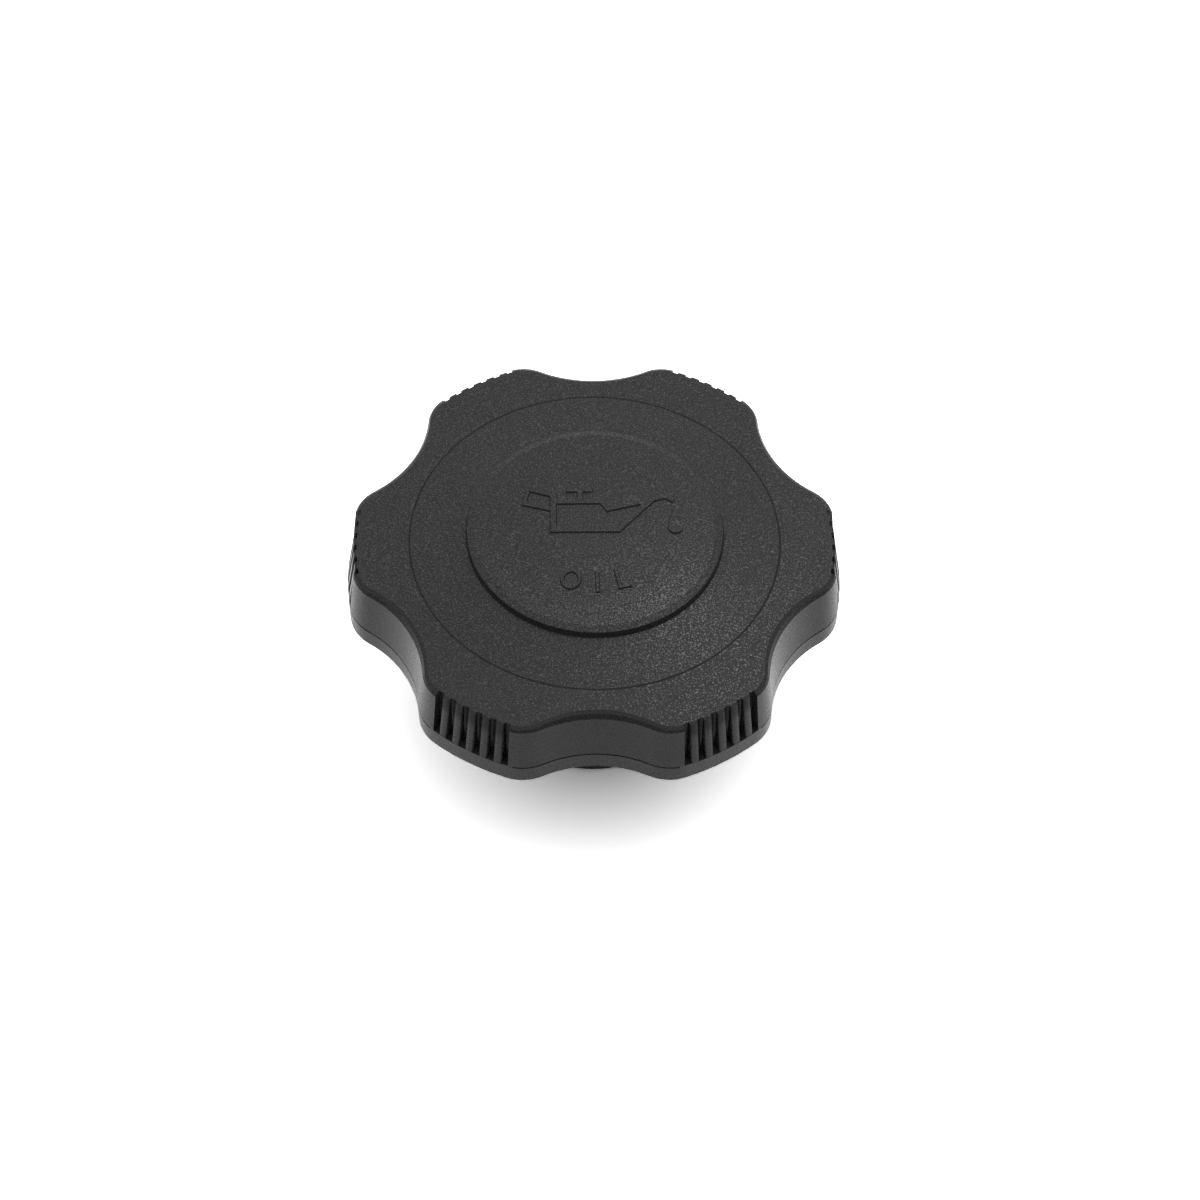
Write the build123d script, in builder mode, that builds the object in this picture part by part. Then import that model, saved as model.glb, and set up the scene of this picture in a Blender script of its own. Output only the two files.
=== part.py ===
from build123d import *
import os
from math import cos, radians, sin, tan

# Oil filler cap: a six-lobed moulded grip head on a hollow threaded stem, with a flat rubber
# seal under the head. Millimetres, +Z up along the screw axis, origin at the middle of the
# stem's open end, on which the cap stands. One lobe points along +X and a scallop along -Y.

# Grip head, plan
head_dia = 66.0  # over two opposite lobes, at the parting line
lobe_count = 6
scallop_depth = 3.95  # behind the lobes
scallop_radius = 15.5
lobe_corner_radius = 6.0

# Grip head, height
rim_height = 33.0  # stem end up to the fine line on the top face
skirt_height = 10.7  # fine line down to the skirt's lower edge
band_height = 2.7  # plain band below the parting line
parting_width = 0.24
parting_depth = 0.12
upper_draft = 5.8  # degrees, wall above the parting line
shoulder_height = 1.15  # rounding of the wall into the rim
shoulder_draft = 33.0  # degrees
rim_edge = 0.3  # bevel between the shoulder and the rim

# Top face
rim_width = 8.45  # lobes in to the fine line where the face changes its slope
ring_width = 0.26  # fine line, at the rim's level
ring_depth = 0.1
rim_slope = 4.4  # degrees, fall of the rim outside the fine line
face_slope = 8.4  # degrees, rise of the face from the fine line to the dome
dome_dia = 34.2  # at its foot
dome_step = 1.1  # wall of the dome, with its bevel
dome_draft = 14.5  # degrees
dome_rise = 0.75  # crown above that wall
dome_bevel = 0.9  # bevel round the crown, inwards
dome_bevel_drop = 0.25  # down the wall

# Finger grooves on each lobe's crest
groove_count = 6
groove_step = 3.58  # degrees
groove_width = 0.95  # at the ribs' faces
groove_floor = 0.85
groove_depth = 1.4  # at its foot
groove_draft = 0.7  # degrees, less than the wall's so that a groove gets shallow to the top
groove_margin = 1.0  # cuts run past the wall's foot and top by this
rib_setback = 0.03  # ribs behind the wall, at their foot
rib_draft = 8.5  # degrees
rib_lip = 0.1  # bevel of the ribs' edges

# Shell
top_wall = 2.8
skirt_wall = 2.6
rib_count = 12
rib_width = 1.6
rib_depth = 2.2  # below the ceiling

# Threaded stem
thread_dia = 34.7
thread_depth = 2.3
thread_pitch = 4.0
thread_turns = 2.5
thread_start = 4.5  # stem end up to the middle of the first turn
thread_crest = 0.8
thread_flank = 30.0  # degrees
pilot_setback = 0.3  # behind the thread's core
pilot_length = 2.5
pilot_chamfer = 0.5
stem_wall = 2.55  # at the pilot
bore_edge = 0.4

# Seal
seal_thickness = 2.6
seal_width = 7.3
seal_clearance = 0.15  # round the stem and inside the ribs

# Sizes that follow
head_radius = head_dia / 2
scallop_centre = head_radius - scallop_depth + scallop_radius
skirt_level = rim_height - skirt_height
parting_level = skirt_level + band_height
upper_level = parting_level + parting_width / 2
lower_level = parting_level - parting_width / 2
ceiling_level = rim_height - top_wall
seal_level = ceiling_level - seal_thickness
ring_radius = head_radius - rim_width
rim_drop = rim_width * tan(radians(rim_slope))
dome_radius = dome_dia / 2
face_level = rim_height + (ring_radius - dome_radius) * tan(radians(face_slope))
dome_level = face_level + dome_step
crown_level = dome_level + dome_rise
crown_edge_radius = dome_radius - dome_step * tan(radians(dome_draft))
crown_radius = (crown_edge_radius**2 + dome_rise**2) / (2 * dome_rise)
bore_top = dome_level - top_wall
core_radius = thread_dia / 2 - thread_depth
pilot_radius = core_radius - pilot_setback
bore_radius = pilot_radius - stem_wall
seal_inner = core_radius + seal_clearance
seal_radius = seal_inner + seal_width


# Lobed outline, shared by the upper wall, the parting line, the band and the hollow
with BuildSketch() as outline:
    Circle(head_radius)
    with PolarLocations(scallop_centre, lobe_count, start_angle=180 / lobe_count):
        Circle(scallop_radius, mode=Mode.SUBTRACT)
    fillet(outline.vertices(), lobe_corner_radius)


# Grooves of one lobe: deep cuts, and between them ribs that lean back from the wall
with BuildPart() as lobe_grooves:
    groove_span = radians(groove_step) * head_radius
    rib_half = (groove_span - groove_width) / 2
    cut_length = (rim_height - upper_level) / cos(radians(rib_draft)) + 2 * groove_margin
    for groove in range(groove_count):
        turn = groove_step * (groove - (groove_count - 1) / 2)
        foot = Vector(head_radius - groove_depth, 0, upper_level).rotate(Axis.Z, turn)
        lean = Vector(-sin(radians(groove_draft)), 0, cos(radians(groove_draft))).rotate(Axis.Z, turn)
        across = Vector(0, -1, 0).rotate(Axis.Z, turn)
        with BuildSketch(Plane(foot, x_dir=across, z_dir=lean).offset(-groove_margin)):
            with BuildLine():
                Polyline(
                    (0, 0),
                    (groove_floor / 2, 0),
                    (groove_width / 2, groove_depth),
                    (groove_width / 2, 2 * groove_depth),
                    (0, 2 * groove_depth),
                )
                mirror(about=Plane.YZ)
            make_face()
        extrude(amount=cut_length)
    for rib in range(groove_count - 1):
        turn = groove_step * (rib - (groove_count - 2) / 2)
        foot = Vector(head_radius - rib_setback, 0, upper_level).rotate(Axis.Z, turn)
        lean = Vector(-sin(radians(rib_draft)), 0, cos(radians(rib_draft))).rotate(Axis.Z, turn)
        across = Vector(0, -1, 0).rotate(Axis.Z, turn)
        with BuildSketch(Plane(foot, x_dir=across, z_dir=lean).offset(-groove_margin)):
            with BuildLine():
                Polyline(
                    (0, 0),
                    (rib_half - rib_lip, 0),
                    (rib_half, -rib_lip),
                    (groove_span / 2, -rib_lip),
                    (groove_span / 2, groove_depth),
                    (0, groove_depth),
                )
                mirror(about=Plane.YZ)
            make_face()
        extrude(amount=cut_length)


# Helical ridge of the thread, sunk a little into the stem's core
with BuildPart() as thread_ridge:
    ridge_sink = thread_depth / 4
    ridge_root = thread_crest + 2 * (thread_depth + ridge_sink) * tan(radians(thread_flank))
    with BuildLine() as helix:
        Helix(thread_pitch, thread_turns * thread_pitch, core_radius, center=(0, 0, thread_start))
    with BuildSketch(Plane(helix.line @ 0, x_dir=(1, 0, 0), z_dir=helix.line % 0)):
        with BuildLine():
            Polyline(
                (-ridge_sink, -ridge_root / 2),
                (thread_depth, -thread_crest / 2),
                (thread_depth, thread_crest / 2),
                (-ridge_sink, ridge_root / 2),
                close=True,
            )
        make_face()
    sweep(path=helix.line, is_frenet=True)


# Hollow of the head, with the stiffening ribs left standing on its ceiling
with BuildPart() as hollow:
    with BuildSketch(Plane.XY.offset(skirt_level)):
        add(outline.sketch)
        offset(amount=-skirt_wall)
    extrude(amount=ceiling_level - skirt_level)
    rib_inner = seal_radius + seal_clearance
    rib_length = head_radius - rib_inner
    with BuildSketch(Plane.XY.offset(ceiling_level)):
        with PolarLocations(rib_inner + rib_length / 2, rib_count):
            Rectangle(rib_length, rib_width)
    extrude(amount=-rib_depth, mode=Mode.SUBTRACT)


# Dome of the top face: a low drafted wall under a spherical crown
with BuildPart() as dome:
    with BuildSketch(Plane.XY.offset(face_level)):
        Circle(dome_radius)
    extrude(amount=dome_step + dome_rise, taper=dome_draft)
    with Locations((0, 0, crown_level - crown_radius)):
        Sphere(crown_radius, rotation=(90, 0, 0), mode=Mode.INTERSECT)
    crown = dome.faces().filter_by(GeomType.SPHERE)[0]
    chamfer(crown.edges(), dome_bevel, dome_bevel_drop, reference=crown)


# Cap body: head, dome, skirt, stiffening ribs and stem, moulded as one piece
with BuildPart() as cap_body:
    # Upper wall and its shoulder, both drafted inwards to the top
    with BuildSketch(Plane.XY.offset(upper_level)):
        add(outline.sketch)
    extrude(amount=rim_height - shoulder_height - upper_level, taper=upper_draft)
    extrude(cap_body.faces().sort_by(Axis.Z)[-1], amount=shoulder_height, taper=shoulder_draft)

    # Rim that falls away outside the fine line, with its edge bevelled
    with BuildSketch(Plane.XZ):
        with BuildLine():
            Polyline(
                (ring_radius, rim_height),
                (head_radius, rim_height),
                (head_radius, rim_height - rim_drop),
                close=True,
            )
        make_face()
    revolve(axis=Axis.Z, mode=Mode.SUBTRACT)
    chamfer(cap_body.faces().sort_by(Axis.Z)[-2].outer_wire().edges(), rim_edge)

    # Finger grooves, open at the top and closed by the parting line's layer below
    with PolarLocations(0, lobe_count):
        add(lobe_grooves.part, mode=Mode.SUBTRACT)

    # Face that rises from the fine line to the dome
    with BuildSketch(Plane.XZ):
        with BuildLine():
            Polyline(
                (0, rim_height),
                (ring_radius, rim_height),
                (dome_radius, face_level),
                (0, face_level),
                close=True,
            )
        make_face()
    revolve(axis=Axis.Z)
    add(dome.part)

    # Fine line at the foot of that face
    with BuildSketch(Plane.XZ):
        with BuildLine():
            Polyline(
                (ring_radius - ring_width, rim_height + ring_depth),
                (ring_radius + ring_width, rim_height + ring_depth),
                (ring_radius, rim_height - ring_depth),
                close=True,
            )
        make_face()
    revolve(axis=Axis.Z, mode=Mode.SUBTRACT)

    # Recess of the parting line, which stops at the ribs, and the band below it
    with BuildSketch(Plane.XY.offset(lower_level)):
        with PolarLocations(0, lobe_count):
            Rectangle(head_dia, groove_count * groove_span)
        add(outline.sketch, mode=Mode.INTERSECT)
        add(offset(outline.sketch, amount=-parting_depth, mode=Mode.PRIVATE))
    extrude(amount=parting_width)
    with BuildSketch(Plane.XY.offset(skirt_level)):
        add(outline.sketch)
    extrude(amount=lower_level - skirt_level)

    # Hollow under the head
    add(hollow.part, mode=Mode.SUBTRACT)

    # Stem, its thread and its bore
    with BuildSketch(Plane.XZ):
        with BuildLine():
            Polyline(
                (0, 0),
                (pilot_radius - pilot_chamfer, 0),
                (pilot_radius, pilot_chamfer),
                (pilot_radius, pilot_length),
                (core_radius, pilot_length + pilot_setback),
                (core_radius, ceiling_level),
                (0, ceiling_level),
                close=True,
            )
        make_face()
    revolve(axis=Axis.Z)
    add(thread_ridge.part)
    with BuildSketch():
        Circle(bore_radius)
    extrude(amount=bore_top, mode=Mode.SUBTRACT)
    bore_edges = cap_body.edges(Select.LAST).filter_by(lambda edge: edge.is_closed).group_by(Axis.Z)
    chamfer(bore_edges[0], bore_edge)


# Flat rubber seal, pressed up against the ceiling round the stem
with BuildPart() as seal:
    with BuildSketch(Plane.XZ):
        with Locations(((seal_inner + seal_radius) / 2, (seal_level + ceiling_level) / 2)):
            Rectangle(seal_radius - seal_inner, seal_thickness)
    revolve(axis=Axis.Z)


os.makedirs("parts", exist_ok=True)
cap_body.part.label = "cap_body"
export_step(cap_body.part, "parts/cap_body.step")
seal.part.label = "seal"
export_step(seal.part, "parts/seal.step")
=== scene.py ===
from math import acos, atan2, cos, degrees, pi, radians, sin, tan

import bpy
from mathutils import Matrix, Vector


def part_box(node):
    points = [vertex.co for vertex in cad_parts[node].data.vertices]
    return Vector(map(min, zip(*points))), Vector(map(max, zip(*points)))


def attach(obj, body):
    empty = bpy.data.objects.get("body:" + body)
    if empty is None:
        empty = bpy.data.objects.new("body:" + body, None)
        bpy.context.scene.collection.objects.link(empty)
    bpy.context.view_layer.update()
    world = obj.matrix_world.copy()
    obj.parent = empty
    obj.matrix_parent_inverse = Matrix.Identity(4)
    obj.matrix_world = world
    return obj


bl_info = {
    "name": "Oil filler cap",
    "version": (1, 0, 0),
    "blender": (4, 5, 0),
    "location": "3D view > Sidebar > Oil cap",
    "description": "Finishes, raised sign and studio stage of a moulded oil filler cap",
    "category": "Object",
}

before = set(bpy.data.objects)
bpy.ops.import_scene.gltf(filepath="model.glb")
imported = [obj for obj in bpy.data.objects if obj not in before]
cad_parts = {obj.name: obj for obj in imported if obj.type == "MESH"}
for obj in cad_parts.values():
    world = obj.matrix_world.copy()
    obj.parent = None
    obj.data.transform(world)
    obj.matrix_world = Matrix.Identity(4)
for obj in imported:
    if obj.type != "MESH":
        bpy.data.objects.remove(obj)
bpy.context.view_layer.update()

MM = 0.001

# Upward part of the moulding's normals: from slopes to top faces, and from walls to slopes
TOP_FACING = (0.88, 0.96)
SLOPE_FACING = (0.5, 0.7)

# Zones of the moulding in millimetres over the floor, from the axis and in front of the axis
TOP_HEIGHT = (30.5, 31.5)
BROW_START = (9.0, 15.0)
BROW_END = (16.4, 17.0)
BROW_FRONT = (1.0, 12.0)
RIM_START = (24.3, 25.3)
RIM_FRONT = (5.0, 20.0)
OUTER_WALL = (30.8, 31.0)

# Finger grooves in degrees: half a lobe, one step, a groove's edge, ends of the rows, half a rib
LOBE_HALF = 30.0
GROOVE_STEP = 3.58
GROOVE_EDGE = (0.6, 0.85)
GROOVES_END = (10.0, 10.5)
RIBS_END = (8.1, 8.4)
RIB_HALF = 0.96

# Ribs between the grooves: foot in millimetres from the axis and over the floor, lean in degrees
RIB_FOOT = 32.97
RIB_LEVEL = 25.0
RIB_DRAFT = 8.5

# Grooves in millimetres, for the painted shade in and over them and the ribs' rounding: depths
# behind the ribs' faces and heights over the ribs' foot
GROOVE_DEPTH = (0.05, 0.25)
GROOVE_FLOOR = (1.5, 1.6)
SHADE_RISE = (0.5, 5.0)
RIB_TOPS = (4.3, 6.0)
RIB_START = (0.0, 0.1)

# Plastic: shares of its colour, of the colour of the painted groove shade and of the painted shade
# on the ribs' tops, spans of the noise, shares of the noise
DARK_GRAIN, LIGHT_GRAIN = 0.72, 1.38
PAINTED_SHADE_COLOUR = 0.5
RIB_TOP_SHADE = 0.75
TONE_SPAN = (0.25, 0.75)
GLINT_SPAN = (0.52, 0.68)
NOISE_MIDDLE = 0.5
CLOUD_TONE = 0.3
BROW_GLINT = 0.035
RIM_GLINT = 0.03
WALL_RELIEF = 0.4
TOP_ROUGH = 0.06
CLOUD_ROUGH = 0.06
GRAIN_ROUGH = 0.45

# Rubber of the seal: shares of the colour, span of the bloom, roughness, skin in millimetres
DARK_RUBBER, LIGHT_RUBBER = 0.8, 1.5
BLOOM_SPAN = (0.3, 0.75)
RUBBER_ROUGH, BLOOM_ROUGH = 0.6, 0.2
SKIN_HEIGHT = 0.01

# Surroundings by direction: spans in which a zone begins or ends, and the way to the panel
OPEN_FRONT = (0.1, 0.55)
FRONT_TOP = (0.6, 0.8)
BACK_WALL = (0.3, 0.9)
BACK_TOP = (0.3, 0.6)
PANEL_WAY = (0.35, 0.08, 0.93)
PANEL_SPAN = (0.85, 1.0)
ROOF = (0.2, 0.75)

# Sign in millimetres, seen from above: the can with its filler and its handle, and the drop
CAN_OUTLINE = (
    (-5.95, -1.33), (3.25, -1.33), (7.95, 4.07), (9.3, 4.52), (10.35, 3.87), (10.75, 4.67),
    (9.5, 5.47), (7.6, 4.86), (1.96, 3.2), (1.18, 4.42), (-1.5, 4.42), (-1.5, 5.47),
    (-0.2, 5.47), (-0.2, 6.37), (-3.85, 6.37), (-3.85, 5.47), (-2.4, 5.47), (-2.4, 4.42),
    (-4.95, 4.42), (-5.25, 5.52), (-9.2, 6.82), (-9.75, 3.39), (-6.0, 2.27),
)
CAN_INSIDE = (
    (-5.02, 3.42), (0.67, 3.46), (1.54, 2.09), (5.85, 3.34), (2.8, -0.38), (-5.02, -0.38),
)
HANDLE_INSIDE = ((-8.9, 4.22), (-8.56, 5.63), (-6.0, 4.77), (-6.0, 3.32))
DROP_CENTRE = (10.62, -0.23)
DROP_RADIUS = 1.07
DROP_TIP = (10.3, 2.97)

# Letters in millimetres: place of the middle or the foot with its turn in degrees, then sizes
LETTER_O = (-3.23, -8.87, -13.0)
LETTER_I = (0.28, -11.0, 1.5)
LETTER_L = (3.0, -10.47, 13.0)
LETTER_STROKE = 0.6
O_HALF_WIDTH, O_HALF_HEIGHT = 1.42, 1.65
L_FOOT = 1.82

# Meshes of the strokes: points on a ring, cuts, merging in millimetres, smoothing in degrees
RING_POINTS = 40
STROKE_CUTS = 3
MERGE_DISTANCE = 0.01
SMOOTH_ANGLE = 35.0


# Shader maths

class Wire:
    """A socket that takes part in Python expressions and adds its own Math nodes."""

    def __init__(self, tree, socket):
        self.tree = tree
        self.socket = socket

    def node(self, kind, settings=None, output=0, **values):
        made = self.tree.nodes.new(kind)
        for name, value in (settings or {}).items():
            setattr(made, name, value)
        for name, value in values.items():
            target = made.inputs[int(name[1:]) if name[0] == "_" else name.replace("_", " ")]
            if isinstance(value, Wire):
                self.tree.links.new(value.socket, target)
            else:
                target.default_value = value
        return Wire(self.tree, made.outputs[output])

    def maths(self, operation, first, second):
        return self.node("ShaderNodeMath", {"operation": operation}, _0=first, _1=second)

    def __add__(self, other):
        return self.maths("ADD", self, other)

    def __radd__(self, other):
        return self.maths("ADD", other, self)

    def __sub__(self, other):
        return self.maths("SUBTRACT", self, other)

    def __rsub__(self, other):
        return self.maths("SUBTRACT", other, self)

    def __mul__(self, other):
        return self.maths("MULTIPLY", self, other)

    def __rmul__(self, other):
        return self.maths("MULTIPLY", other, self)

    def __pow__(self, other):
        return self.maths("POWER", self, other)

    def step(self, low, high):
        """Smooth step from 0 at the low value to 1 at the high one."""
        return self.node(
            "ShaderNodeMapRange", {"interpolation_type": "SMOOTHSTEP"},
            _0=self, _1=low, _2=high, _3=0.0, _4=1.0,
        )

    def step_mm(self, low, high):
        return self.step(low * MM, high * MM)

    def step_degrees(self, low, high):
        return self.step(radians(low), radians(high))

    def parts(self):
        """The three parts of a vector."""
        made = self.node("ShaderNodeSeparateXYZ", Vector=self).socket.node
        return [Wire(self.tree, part) for part in made.outputs]


def new_material(name):
    material = bpy.data.materials.new(name)
    material.use_nodes = True
    tree = material.node_tree
    shader = tree.nodes["Principled BSDF"]
    place = tree.nodes.new("ShaderNodeTexCoord").outputs["Object"]
    return material, tree, shader, Wire(tree, place)


def feed(tree, wire, target):
    tree.links.new(wire.socket, target)


def shaded(colour, share):
    return [channel * share for channel in colour] + [1]


# Pieces by hand

def deselect():
    if bpy.context.object and bpy.context.object.mode != "OBJECT":
        bpy.ops.object.mode_set(mode="OBJECT")
    bpy.ops.object.select_all(action="DESELECT")


def only(piece):
    deselect()
    piece.select_set(True)
    bpy.context.view_layer.objects.active = piece


def apply_modifier(piece, kind, **settings):
    only(piece)
    modifier = piece.modifiers.new(kind.title(), kind)
    for name, value in settings.items():
        setattr(modifier, name, value)
    bpy.ops.object.modifier_apply(modifier=modifier.name)


def raise_on_crown(piece, sign, material):
    """Lays the strokes on the crown: faces above it, sides sloped down to it, roots below it."""
    only(piece)
    bpy.ops.object.mode_set(mode="EDIT")
    bpy.ops.mesh.select_all(action="SELECT")
    bpy.ops.mesh.remove_doubles(threshold=MERGE_DISTANCE * MM)
    bpy.ops.object.mode_set(mode="OBJECT")
    level = (sign.height + sign.slope) / 2
    raised = [one.index for one in piece.data.vertices if one.co.z > level]
    root = [one.index for one in piece.data.vertices if one.co.z < 0]
    for name, members in (("raised", raised), ("root", root)):
        piece.vertex_groups.new(name=name).add(members, 1.0, "REPLACE")
    bpy.ops.object.mode_set(mode="EDIT")
    bpy.ops.mesh.subdivide(number_cuts=STROKE_CUTS)
    bpy.ops.object.mode_set(mode="OBJECT")
    bpy.ops.object.transform_apply(location=True, rotation=True, scale=True)
    apply_modifier(
        piece, "SHRINKWRAP", target=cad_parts["cap_body"], wrap_method="NEAREST_SURFACEPOINT",
    )
    for name, rise in (("raised", sign.height), ("root", -sign.sink)):
        apply_modifier(
            piece, "DISPLACE", direction="Z", strength=rise, mid_level=0.0, vertex_group=name,
        )
    only(piece)
    bpy.ops.object.mode_set(mode="EDIT")
    bpy.ops.mesh.select_all(action="SELECT")
    bpy.ops.mesh.normals_make_consistent(inside=False)
    bpy.ops.object.mode_set(mode="OBJECT")
    bpy.ops.object.shade_smooth_by_angle(angle=radians(SMOOTH_ANGLE))
    piece.data.materials.clear()
    piece.data.materials.append(material)
    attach(piece, "root")


class CapFinish(bpy.types.PropertyGroup):
    """Colours, grain and painted groove shade of the moulding and the seal."""

    plastic: bpy.props.FloatVectorProperty(
        name="Plastic", description="Colour of the moulded plastic", subtype="COLOR",
        default=(0.022, 0.022, 0.0225), min=0, max=1,
    )
    rubber: bpy.props.FloatVectorProperty(
        name="Rubber", description="Colour of the seal", subtype="COLOR",
        default=(0.016, 0.016, 0.0165), min=0, max=1,
    )
    grain: bpy.props.FloatProperty(
        name="Top grain", description="Size of one grain on the top faces", unit="LENGTH",
        default=0.19 * MM,
    )
    wall_grain: bpy.props.FloatProperty(
        name="Wall grain", description="Size of one grain on the walls", unit="LENGTH",
        default=0.2 * MM,
    )
    grain_height: bpy.props.FloatProperty(
        name="Grain height", description="Height of the top faces' grain", unit="LENGTH",
        default=0.05 * MM,
    )
    roughness: bpy.props.FloatProperty(
        name="Roughness", description="Roughness of the walls", subtype="FACTOR",
        default=0.29, min=0, max=1,
    )
    sheen: bpy.props.FloatProperty(
        name="Sheen", description="Specular level of the plastic", subtype="FACTOR",
        default=0.14, min=0, max=1,
    )
    glint: bpy.props.FloatProperty(
        name="Glint", description="Gloss of the top faces' grains", subtype="FACTOR",
        default=0.75, min=0, max=1,
    )
    glint_roughness: bpy.props.FloatProperty(
        name="Glint roughness", description="Roughness of the grains' gloss", subtype="FACTOR",
        default=0.28, min=0, max=1,
    )
    # Painted shade: how strongly a dark matt layer is mixed in inside the finger grooves and on the
    # ribs' upper ends.
    shade: bpy.props.FloatProperty(
        name="Groove shade", description="Darkening inside the finger grooves", subtype="FACTOR",
        default=0.65, min=0, max=1,
    )
    rounding: bpy.props.FloatProperty(
        name="Rib rounding", description="Fall of the finger ribs to their edges", unit="LENGTH",
        default=0.1 * MM,
    )


class CapSign(bpy.types.PropertyGroup):
    """Raised sign and word on the centre disc."""

    height: bpy.props.FloatProperty(
        name="Height", description="Height of the strokes over the disc", unit="LENGTH",
        default=0.2 * MM,
    )
    sink: bpy.props.FloatProperty(
        name="Sink", description="Depth of the strokes' roots in the disc", unit="LENGTH",
        default=0.2 * MM,
    )
    slope: bpy.props.FloatProperty(
        name="Slope", description="Width of the strokes' sloped sides", unit="LENGTH",
        default=0.14 * MM,
    )


class CapStage(bpy.types.PropertyGroup):
    """Camera, floor and light."""

    camera_place: bpy.props.FloatVectorProperty(
        name="Camera", description="Place of the camera", subtype="TRANSLATION", unit="LENGTH",
        default=(-7.484 * MM, -282.057 * MM, 394.273 * MM),
    )
    camera_turn: bpy.props.FloatVectorProperty(
        name="Turn", description="Rotation of the camera", subtype="EULER", unit="ROTATION",
        default=(radians(36.9713), radians(-0.8133), radians(-0.6189)),
    )
    lens: bpy.props.FloatProperty(
        name="Lens", description="Focal length in millimetres", unit="CAMERA", default=103.83,
    )
    floor: bpy.props.FloatProperty(
        name="Floor", description="White of the floor as it lights the cap", default=0.92,
    )
    page: bpy.props.FloatProperty(
        name="Page", description="White of the floor as the camera sees it", default=2.25,
    )
    mirrored: bpy.props.FloatProperty(
        name="Mirrored floor", description="White of the floor in the cap's reflections",
        default=1.72,
    )
    tent: bpy.props.FloatProperty(
        name="Tent light", description="Brightness of the white surroundings overhead", default=1.2,
    )
    low: bpy.props.FloatProperty(
        name="Low light", description="Brightness of the surroundings near the floor", default=0.45,
    )
    overhead: bpy.props.FloatProperty(
        name="Panel light", description="Brightness added high at the back right", default=0.6,
    )
    front: bpy.props.FloatProperty(
        name="Front light", description="Share of the light that the open front keeps",
        subtype="FACTOR", default=0.1, min=0, max=1,
    )
    back: bpy.props.FloatProperty(
        name="Back light", description="Brightness added low at the back", default=0.45,
    )
    key_place: bpy.props.FloatVectorProperty(
        name="Key light", description="Place of the key light", subtype="TRANSLATION",
        unit="LENGTH", default=(0.17, 0.42, 0.89),
    )
    key_aim: bpy.props.FloatVectorProperty(
        name="Key aim", description="Point that the key light faces", subtype="TRANSLATION",
        unit="LENGTH", default=(0, 0, 0.03),
    )
    key_size: bpy.props.FloatProperty(
        name="Key size", description="Diameter of the key light", unit="LENGTH", default=0.14,
    )
    key_energy: bpy.props.FloatProperty(
        name="Key energy", description="Power of the key light in watts", unit="POWER", default=1.0,
    )


def groove_masks(x, y, height, radius, level):
    """Painted shade inside the finger grooves and on the ribs' upper ends, and rounding of the ribs
    between them.
    """
    turn = x.maths("PINGPONG", x.maths("ARCTAN2", y, x), radians(LOBE_HALF))
    half_step = radians(GROOVE_STEP / 2)
    from_rib = x.maths("PINGPONG", turn, half_step)
    rise = height - RIB_LEVEL * MM
    depth = RIB_FOOT * MM - rise * tan(radians(RIB_DRAFT)) - radius
    steep = 1 - level.step(*SLOPE_FACING)
    # Painted shade inside the grooves, fading in upward from the ribs' foot.
    groove = 1 - (half_step - from_rib).step_degrees(*GROOVE_EDGE)
    groove = groove * (1 - turn.step_degrees(*GROOVES_END)) * steep
    groove = groove * depth.step_mm(*GROOVE_DEPTH) * (1 - depth.step_mm(*GROOVE_FLOOR))
    ribs = steep * (1 - turn.step_degrees(*RIBS_END)) * radius.step_mm(*OUTER_WALL)
    # Painted shade on the ribs' upper ends.
    painted_top_shade = RIB_TOP_SHADE * ribs * (1 - groove) * rise.step_mm(*RIB_TOPS)
    across = from_rib * (1 / radians(RIB_HALF))
    shade = groove * rise.step_mm(*SHADE_RISE) + painted_top_shade
    return shade, across * across * ribs * rise.step_mm(*RIB_START)


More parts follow.
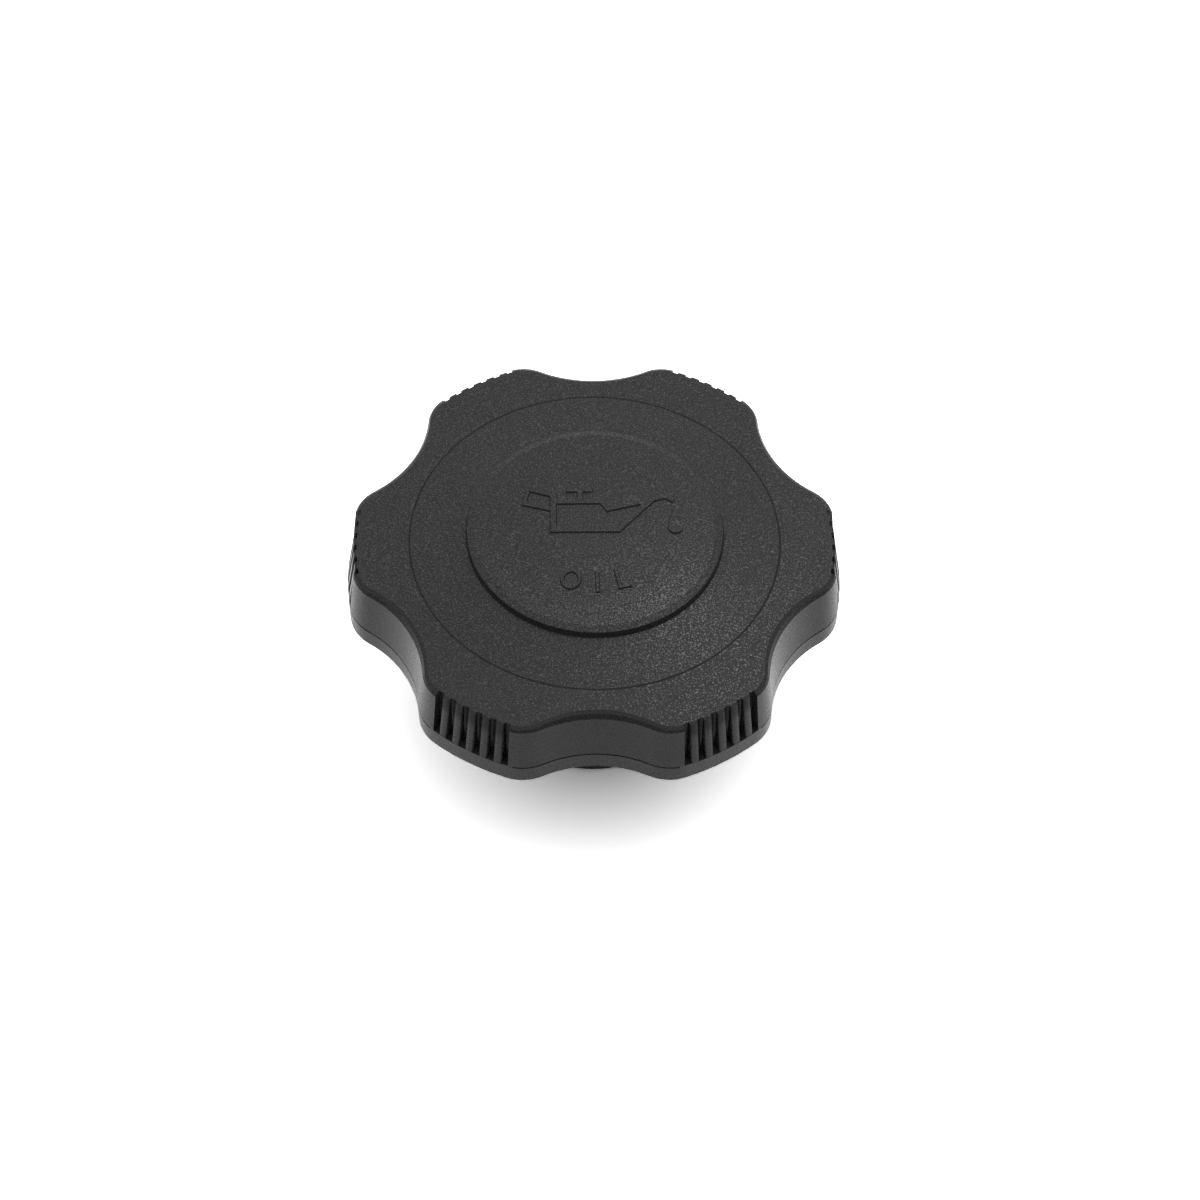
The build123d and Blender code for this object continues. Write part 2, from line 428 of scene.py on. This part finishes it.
def cap_plastic():
    """Black moulded plastic: coarse glinting grain on the top faces, finer grain on the walls, and
    painted shade in the finger grooves and on the ribs' tops.
    """
    name = "cap_plastic"
    if name in bpy.data.materials:
        return bpy.data.materials[name]
    finish = bpy.context.scene.cap_finish
    material, tree, shader, place = new_material(name)
    x, y, height = place.parts()
    radius = (x * x + y * y) ** 0.5
    before = 0 - y
    level = Wire(tree, place.socket.node.outputs["Normal"]).parts()[2]
    top = level.step(*TOP_FACING) * height.step_mm(*TOP_HEIGHT)
    shade, rounding = groove_masks(x, y, height, radius, level)

    coarse = place.node(
        "ShaderNodeTexNoise", Vector=place, Scale=1 / finish.grain, Detail=1.5, Roughness=0.5,
    )
    fine = place.node("ShaderNodeTexNoise", Vector=place, Scale=1 / finish.wall_grain, Detail=1.0)
    cloud = place.node("ShaderNodeTexNoise", Vector=place, Scale=140.0, Detail=3.0)

    relief = coarse * top + fine * (WALL_RELIEF - WALL_RELIEF * top)
    relief = relief - finish.rounding / finish.grain_height * rounding
    bump = place.node("ShaderNodeBump", Strength=1.0, Distance=finish.grain_height, Height=relief)
    feed(tree, bump, shader.inputs["Normal"])

    patch = cloud - NOISE_MIDDLE
    rough = finish.roughness + TOP_ROUGH * top + CLOUD_ROUGH * patch
    rough = rough + GRAIN_ROUGH * (fine - NOISE_MIDDLE) * (1 - top)
    feed(tree, rough, shader.inputs["Roughness"])

    speck = coarse * top + fine * (1 - top)
    tone = place.node(
        "ShaderNodeMix", {"data_type": "RGBA"}, output=2,
        _0=speck.step(*TONE_SPAN) + CLOUD_TONE * patch,
        _6=shaded(finish.plastic, DARK_GRAIN), _7=shaded(finish.plastic, LIGHT_GRAIN),
    )
    feed(tree, tone, shader.inputs["Base Color"])

    brow = radius.step_mm(*BROW_START) * (1 - radius.step_mm(*BROW_END))
    brow = brow * before.step_mm(*BROW_FRONT)
    rim = radius.step_mm(*RIM_START) * before.step_mm(*RIM_FRONT)
    glint = (coarse + BROW_GLINT * brow - RIM_GLINT * rim).step(*GLINT_SPAN) * top * finish.glint
    feed(tree, glint, shader.inputs["Coat Weight"])
    shader.inputs["Coat Roughness"].default_value = finish.glint_roughness
    shader.inputs["Specular IOR Level"].default_value = finish.sheen

    # Painted shade: a dark matt layer mixed in by the groove mask, inside the grooves and on the
    # ribs' tops.
    painted_shade = place.node("ShaderNodeBsdfDiffuse", Color=shaded(finish.plastic, PAINTED_SHADE_COLOUR))
    both = place.node(
        "ShaderNodeMixShader", _0=shade * finish.shade,
        _1=Wire(tree, shader.outputs["BSDF"]), _2=painted_shade,
    )
    feed(tree, both, tree.nodes["Material Output"].inputs["Surface"])
    return material


def seal_rubber():
    """Plain matt rubber with a fine bloom."""
    finish = bpy.context.scene.cap_finish
    material, tree, shader, place = new_material("seal_rubber")
    bloom = place.node("ShaderNodeTexNoise", Vector=place, Scale=420.0, Detail=4.0)
    skin = place.node("ShaderNodeTexNoise", Vector=place, Scale=5200.0, Detail=1.0)
    tone = place.node(
        "ShaderNodeMix", {"data_type": "RGBA"}, output=2, _0=bloom.step(*BLOOM_SPAN),
        _6=shaded(finish.rubber, DARK_RUBBER), _7=shaded(finish.rubber, LIGHT_RUBBER),
    )
    feed(tree, tone, shader.inputs["Base Color"])
    feed(tree, RUBBER_ROUGH + BLOOM_ROUGH * bloom, shader.inputs["Roughness"])
    bump = place.node("ShaderNodeBump", Strength=0.6, Distance=SKIN_HEIGHT * MM, Height=skin)
    feed(tree, bump, shader.inputs["Normal"])
    return material


class OBJECT_OT_cap_body_finish(bpy.types.Operator):
    """Gives the moulding its grained black plastic"""

    bl_idname = "object.cap_body_finish"
    bl_label = "Finish the moulding"

    def execute(self, context):
        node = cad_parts["cap_body"]
        node.material_slots[0].material = cap_plastic()
        return {"FINISHED"}


class OBJECT_OT_cap_seal_finish(bpy.types.Operator):
    """Gives the seal its rubber"""

    bl_idname = "object.cap_seal_finish"
    bl_label = "Finish the seal"

    def execute(self, context):
        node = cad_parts["seal"]
        node.material_slots[0].material = seal_rubber()
        return {"FINISHED"}


def placed(points, place):
    """Turns a flat outline and moves it to its place."""
    x, y, turn = place
    c, s = cos(radians(turn)), sin(radians(turn))
    return [(x + c * u - s * v, y + s * u + c * v) for u, v in points]


def ring(wide, high, start=0.0, end=2 * pi):
    """Points on an ellipse or on a part of it."""
    angles = [start + (end - start) * step / RING_POINTS for step in range(RING_POINTS)]
    return [(wide * cos(angle), high * sin(angle)) for angle in angles]


def drop_outline():
    """Round drop with a straight-sided tip."""
    reach = Vector(DROP_TIP) - Vector(DROP_CENTRE)
    half = acos(DROP_RADIUS / reach.length)
    round_side = ring(DROP_RADIUS, DROP_RADIUS, half, 2 * pi - half)
    lean = degrees(atan2(reach.y, reach.x))
    return placed([(reach.length, 0)] + round_side, (*DROP_CENTRE, lean))


def letter_outlines():
    stroke, half, tall = LETTER_STROKE, LETTER_STROKE / 2, 2 * O_HALF_HEIGHT
    stem = ((-half, 0), (half, 0), (half, tall), (-half, tall))
    angle = ((0, 0), (L_FOOT, 0), (L_FOOT, stroke), (stroke, stroke), (stroke, tall), (0, tall))
    return (
        placed(ring(O_HALF_WIDTH, O_HALF_HEIGHT), LETTER_O),
        placed(ring(O_HALF_WIDTH - stroke, O_HALF_HEIGHT - stroke), LETTER_O),
        placed(stem, LETTER_I),
        placed(angle, LETTER_L),
    )


def strokes(name, outlines, sign):
    """Fills flat outlines with bevelled edges, the inner ones left open, and makes them a mesh."""
    deselect()
    flat = bpy.data.curves.new(name, "CURVE")
    flat.dimensions = "2D"
    flat.fill_mode = "BOTH"
    flat.extrude = sign.height / 2
    flat.bevel_depth = sign.slope
    flat.bevel_resolution = 0
    flat.offset = -sign.slope
    for outline in outlines:
        spline = flat.splines.new("POLY")
        spline.points.add(len(outline) - 1)
        for point, (x, y) in zip(spline.points, outline):
            point.co = (x * MM, y * MM, 0, 1)
        spline.use_cyclic_u = True
    piece = bpy.data.objects.new(name, flat)
    bpy.context.scene.collection.objects.link(piece)
    piece.location.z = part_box("cap_body")[1].z - sign.height
    only(piece)
    bpy.ops.object.convert(target="MESH")
    return bpy.context.object


class OBJECT_OT_cap_can_sign(bpy.types.Operator):
    """Raises the outline of an oil can and its drop on the centre disc"""

    bl_idname = "object.cap_can_sign"
    bl_label = "Oil can sign"

    def execute(self, context):
        sign = context.scene.cap_sign
        outlines = (CAN_OUTLINE, CAN_INSIDE, HANDLE_INSIDE, drop_outline())
        raise_on_crown(strokes("can_sign", outlines, sign), sign, cap_plastic())
        return {"FINISHED"}


class OBJECT_OT_cap_word(bpy.types.Operator):
    """Raises the three letters under the can, which follow a shallow arc"""

    bl_idname = "object.cap_word"
    bl_label = "Word"

    def execute(self, context):
        sign = context.scene.cap_sign
        raise_on_crown(strokes("raised_word", letter_outlines(), sign), sign, cap_plastic())
        return {"FINISHED"}


def lay_floor(stage):
    """White floor, with a white of its own for the camera and for reflections."""
    deselect()
    bpy.ops.mesh.primitive_plane_add(size=4.0, location=(0, 0, 0))
    floor = bpy.context.object
    floor.name = "floor"
    material, tree, _, place = new_material("floor_white")
    floor.data.materials.append(material)
    path = place.node("ShaderNodeLightPath").socket.node.outputs
    seen, mirrored = Wire(tree, path["Is Camera Ray"]), Wire(tree, path["Is Glossy Ray"])
    white = stage.floor + seen * (stage.page - stage.floor)
    white = white + mirrored * (stage.mirrored - stage.floor)
    cloth = place.node("ShaderNodeBsdfDiffuse", Color=white)
    feed(tree, cloth, tree.nodes["Material Output"].inputs["Surface"])


def hang_tent(scene, stage):
    """Soft white surroundings: bright above, open at the front, a panel high at the back right."""
    scene.world = bpy.data.worlds.new("tent")
    scene.world.use_nodes = True
    tree = scene.world.node_tree
    sky = tree.nodes["Background"]
    way = Wire(tree, tree.nodes.new("ShaderNodeTexCoord").outputs["Generated"])
    side, ahead, up = way.parts()
    front = (0 - ahead).step(*OPEN_FRONT) * (1 - up.step(*FRONT_TOP))
    back = ahead.step(*BACK_WALL) * (1 - up.step(*BACK_TOP))
    right, behind, over = PANEL_WAY
    panel = (right * side + behind * ahead + over * up).step(*PANEL_SPAN)
    seen = Wire(tree, way.node("ShaderNodeLightPath").socket.node.outputs["Is Camera Ray"])
    tent = stage.low + up.step(*ROOF) * (stage.tent - stage.low)
    tent = tent * (1 - front * (1 - stage.front)) + panel * stage.overhead + back * stage.back
    feed(tree, tent * (1 - seen) + seen, sky.inputs["Strength"])
    sky.inputs["Color"].default_value = (1, 1, 1, 1)


def set_key_light(stage):
    deselect()
    bpy.ops.object.light_add(type="AREA", location=stage.key_place)
    key = bpy.context.object
    key.name = "key_light"
    key.data.shape = "DISK"
    key.data.size = stage.key_size
    key.data.energy = stage.key_energy
    aim = Vector(stage.key_aim) - key.location
    key.rotation_euler = aim.to_track_quat("-Z", "Y").to_euler()


def set_camera(scene, stage):
    bpy.ops.object.camera_add(location=stage.camera_place, rotation=stage.camera_turn)
    scene.camera = bpy.context.object
    settings = {
        "lens": stage.lens, "sensor_width": 36.0, "sensor_fit": "HORIZONTAL",
        "clip_start": 0.01, "clip_end": 20.0,
    }
    for name, value in settings.items():
        setattr(scene.camera.data, name, value)
    scene.view_settings.view_transform = "Standard"


class SCENE_OT_cap_stage(bpy.types.Operator):
    """Sets the floor, the soft white surroundings, the light and the camera"""

    bl_idname = "scene.cap_stage"
    bl_label = "Stage"

    def execute(self, context):
        stage = context.scene.cap_stage
        lay_floor(stage)
        hang_tent(context.scene, stage)
        set_key_light(stage)
        set_camera(context.scene, stage)
        return {"FINISHED"}


class VIEW3D_PT_oil_cap(bpy.types.Panel):
    """Steps and sizes of the oil filler cap"""

    bl_label = "Oil cap"
    bl_idname = "VIEW3D_PT_oil_cap"
    bl_space_type = "VIEW_3D"
    bl_region_type = "UI"
    bl_category = "Oil cap"

    def draw(self, context):
        for operator in STEPS:
            self.layout.operator(operator.bl_idname)
        for group in (context.scene.cap_finish, context.scene.cap_sign, context.scene.cap_stage):
            box = self.layout.box()
            for name in group.__annotations__:
                box.prop(group, name)


STEPS = (
    OBJECT_OT_cap_body_finish,
    OBJECT_OT_cap_seal_finish,
    OBJECT_OT_cap_can_sign,
    OBJECT_OT_cap_word,
    SCENE_OT_cap_stage,
)
GROUPS = {"cap_finish": CapFinish, "cap_sign": CapSign, "cap_stage": CapStage}


def register():
    for name, group in GROUPS.items():
        bpy.utils.register_class(group)
        setattr(bpy.types.Scene, name, bpy.props.PointerProperty(type=group))
    for step in STEPS:
        bpy.utils.register_class(step)
    bpy.utils.register_class(VIEW3D_PT_oil_cap)


def unregister():
    bpy.utils.unregister_class(VIEW3D_PT_oil_cap)
    for step in reversed(STEPS):
        bpy.utils.unregister_class(step)
    for name, group in GROUPS.items():
        delattr(bpy.types.Scene, name)
        bpy.utils.unregister_class(group)


def main():
    register()
    bpy.ops.object.cap_body_finish()
    bpy.ops.object.cap_seal_finish()
    bpy.ops.object.cap_can_sign()
    bpy.ops.object.cap_word()
    bpy.ops.scene.cap_stage()


if __name__ == "__main__":
    main()
